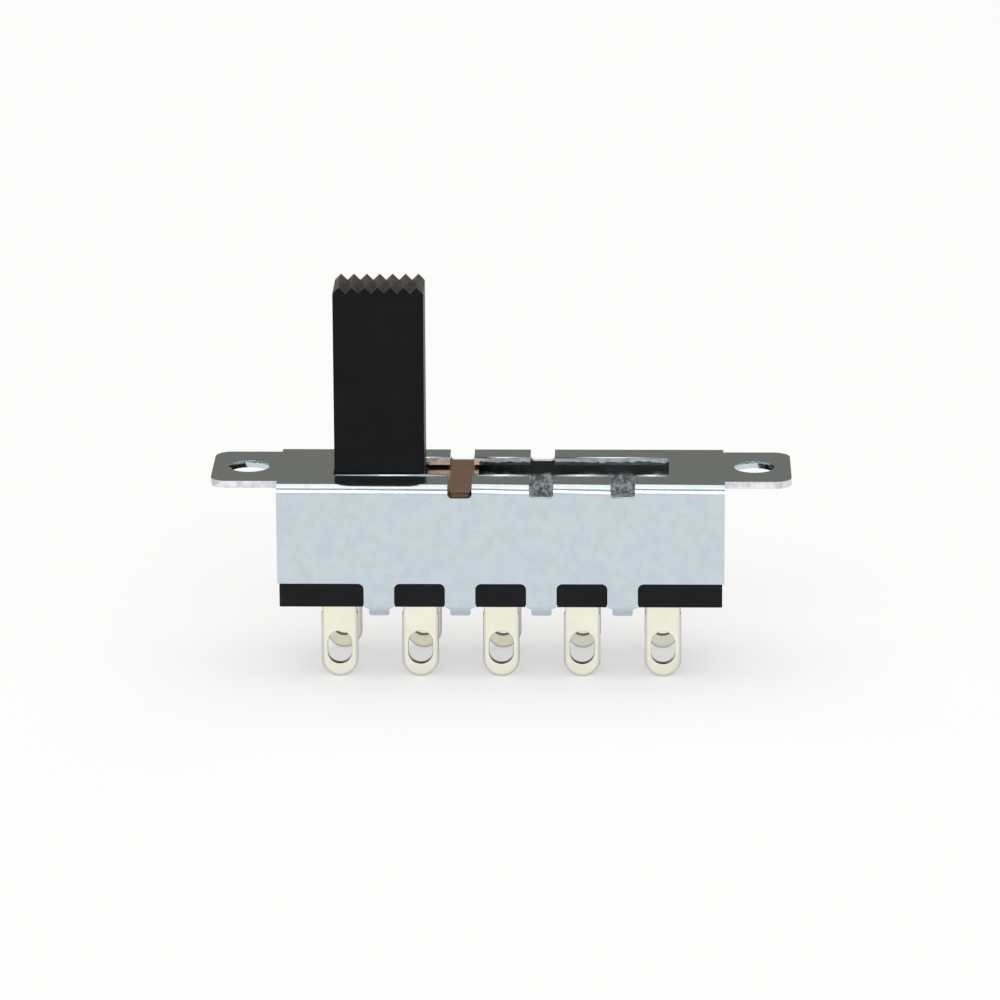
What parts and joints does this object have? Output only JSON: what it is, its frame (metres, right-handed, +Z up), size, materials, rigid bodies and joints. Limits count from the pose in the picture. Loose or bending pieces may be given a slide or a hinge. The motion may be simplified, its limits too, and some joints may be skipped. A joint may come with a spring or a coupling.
{
  "type": "slide switch",
  "caption": "Multi-position slide switch in an open-ended plated steel channel frame with mounting ears, a tall ribbed black handle, a black phenolic base and two rows of solder lugs.",
  "frame": {"origin": "midway between the two mounting holes, on the top face of the flange", "axes": "+X along the slot towards the last position, +Y towards the rear row of lugs, +Z up out of the slot, the way the handle points"},
  "size_m": [0.0286, 0.007, 0.0196],
  "materials": {
    "plated_steel": "smooth zinc plating",
    "phenolic": "matte phenolic board",
    "black_moulding": "semi-gloss moulding",
    "bronze": "smooth phosphor bronze",
    "lug_plating": "bright plated brass"
  },
  "bodies": {
    "housing": {"frame": "plated_steel", "base_board": "phenolic", "terminal_front_1": "lug_plating", "terminal_front_2": "lug_plating", "terminal_front_3": "lug_plating", "terminal_front_4": "lug_plating", "terminal_front_5": "lug_plating", "terminal_rear_1": "lug_plating", "terminal_rear_2": "lug_plating", "terminal_rear_3": "lug_plating", "terminal_rear_4": "lug_plating", "terminal_rear_5": "lug_plating"},
    "slider_assembly": {"slider": "black_moulding", "detent_leaf": "bronze", "contact_clip_front": "bronze", "contact_clip_rear": "bronze"}
  },
  "joints": [
    {"name": "slider_travel", "type": "slide", "parent": "housing", "child": "slider_assembly", "axis": [1, 0, 0], "range_m": [0, 0.012], "deforming": ["detent_leaf"]}
  ]
}
